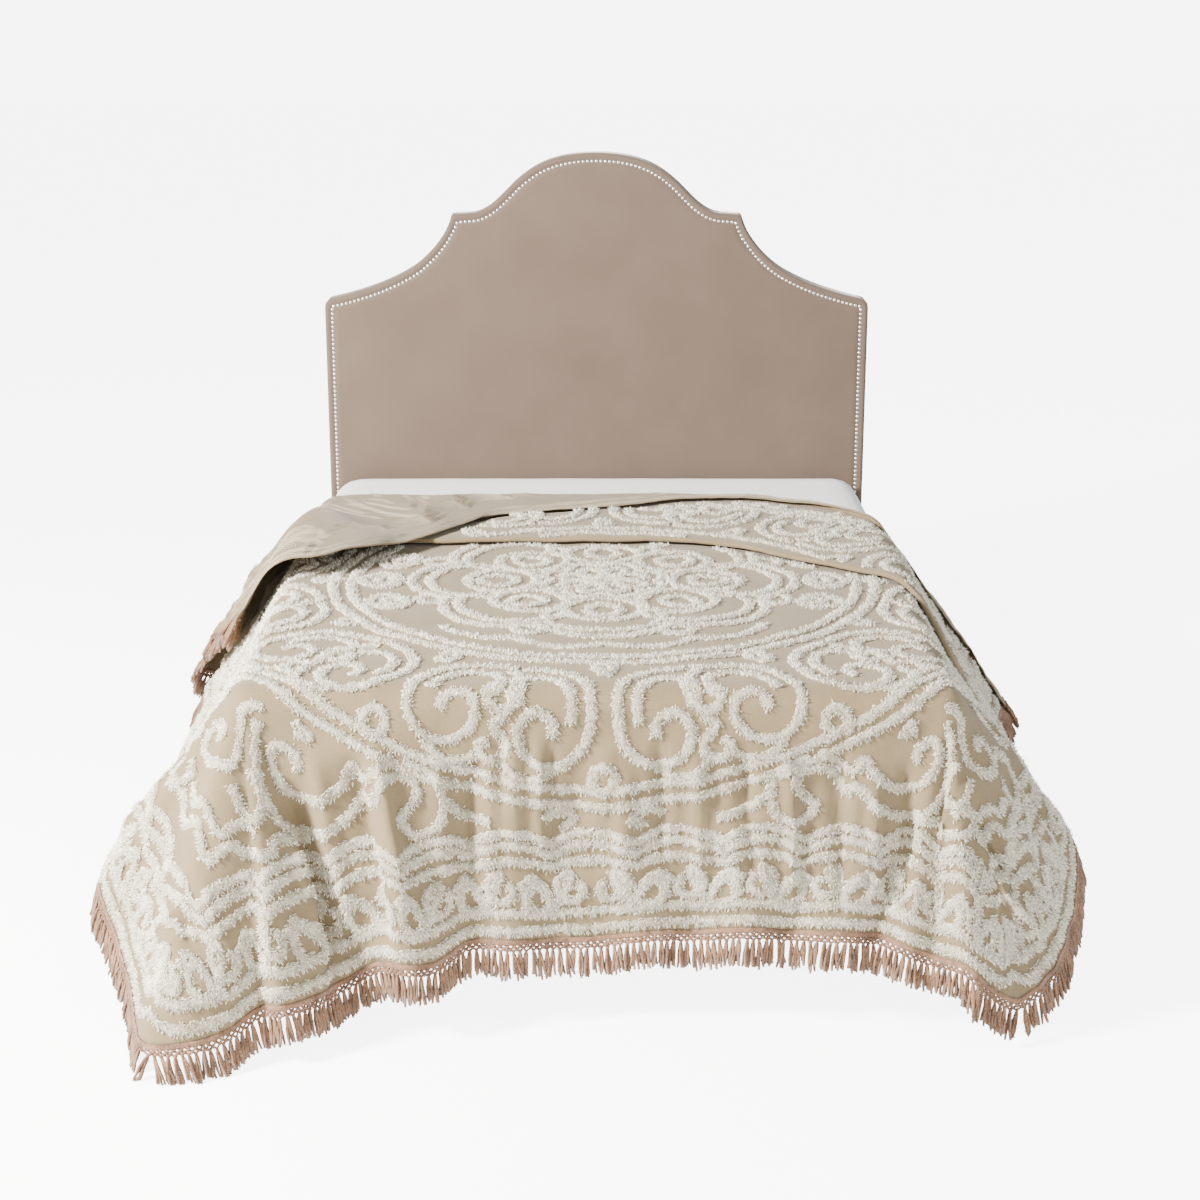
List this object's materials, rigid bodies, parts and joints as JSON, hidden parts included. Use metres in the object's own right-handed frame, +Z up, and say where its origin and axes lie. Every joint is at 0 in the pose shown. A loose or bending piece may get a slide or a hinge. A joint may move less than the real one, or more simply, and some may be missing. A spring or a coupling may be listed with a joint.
{
  "type": "chenille bedspread on a bed",
  "caption": "Tufted chenille medallion bedspread with knotted tassel fringe and a turned-back head, draped over a bed with a camelback headboard.",
  "frame": {"origin": "on the floor, under the middle of the whole outline", "axes": "+Z up, the foot of the bed towards -Y and the headboard towards +Y"},
  "size_m": [2.2436, 2.4158, 1.658],
  "materials": {
    "cotton": "beige plain-woven cotton, the ground of the bedspread",
    "pile": "off-white tufted cut pile, and the white stitching",
    "yarn": "blush knotted cotton yarn",
    "sheet": "white cotton fitted sheet",
    "base_cloth": "plain woven base cover",
    "headboard_cloth": "taupe velvet",
    "nail": "polished nickel nailheads",
    "wood": "dark stained satin"
  },
  "bodies": {
    "root": {"mattress": "sheet", "base": "base_cloth", "headboard": "headboard_cloth", "bedspread": "cotton", "fringe": "yarn", "leg_foot_left": "wood", "leg_foot_right": "wood", "leg_head_left": "wood", "leg_head_right": "wood", "strut_left": "wood", "strut_right": "wood"}
  },
  "joints": []
}
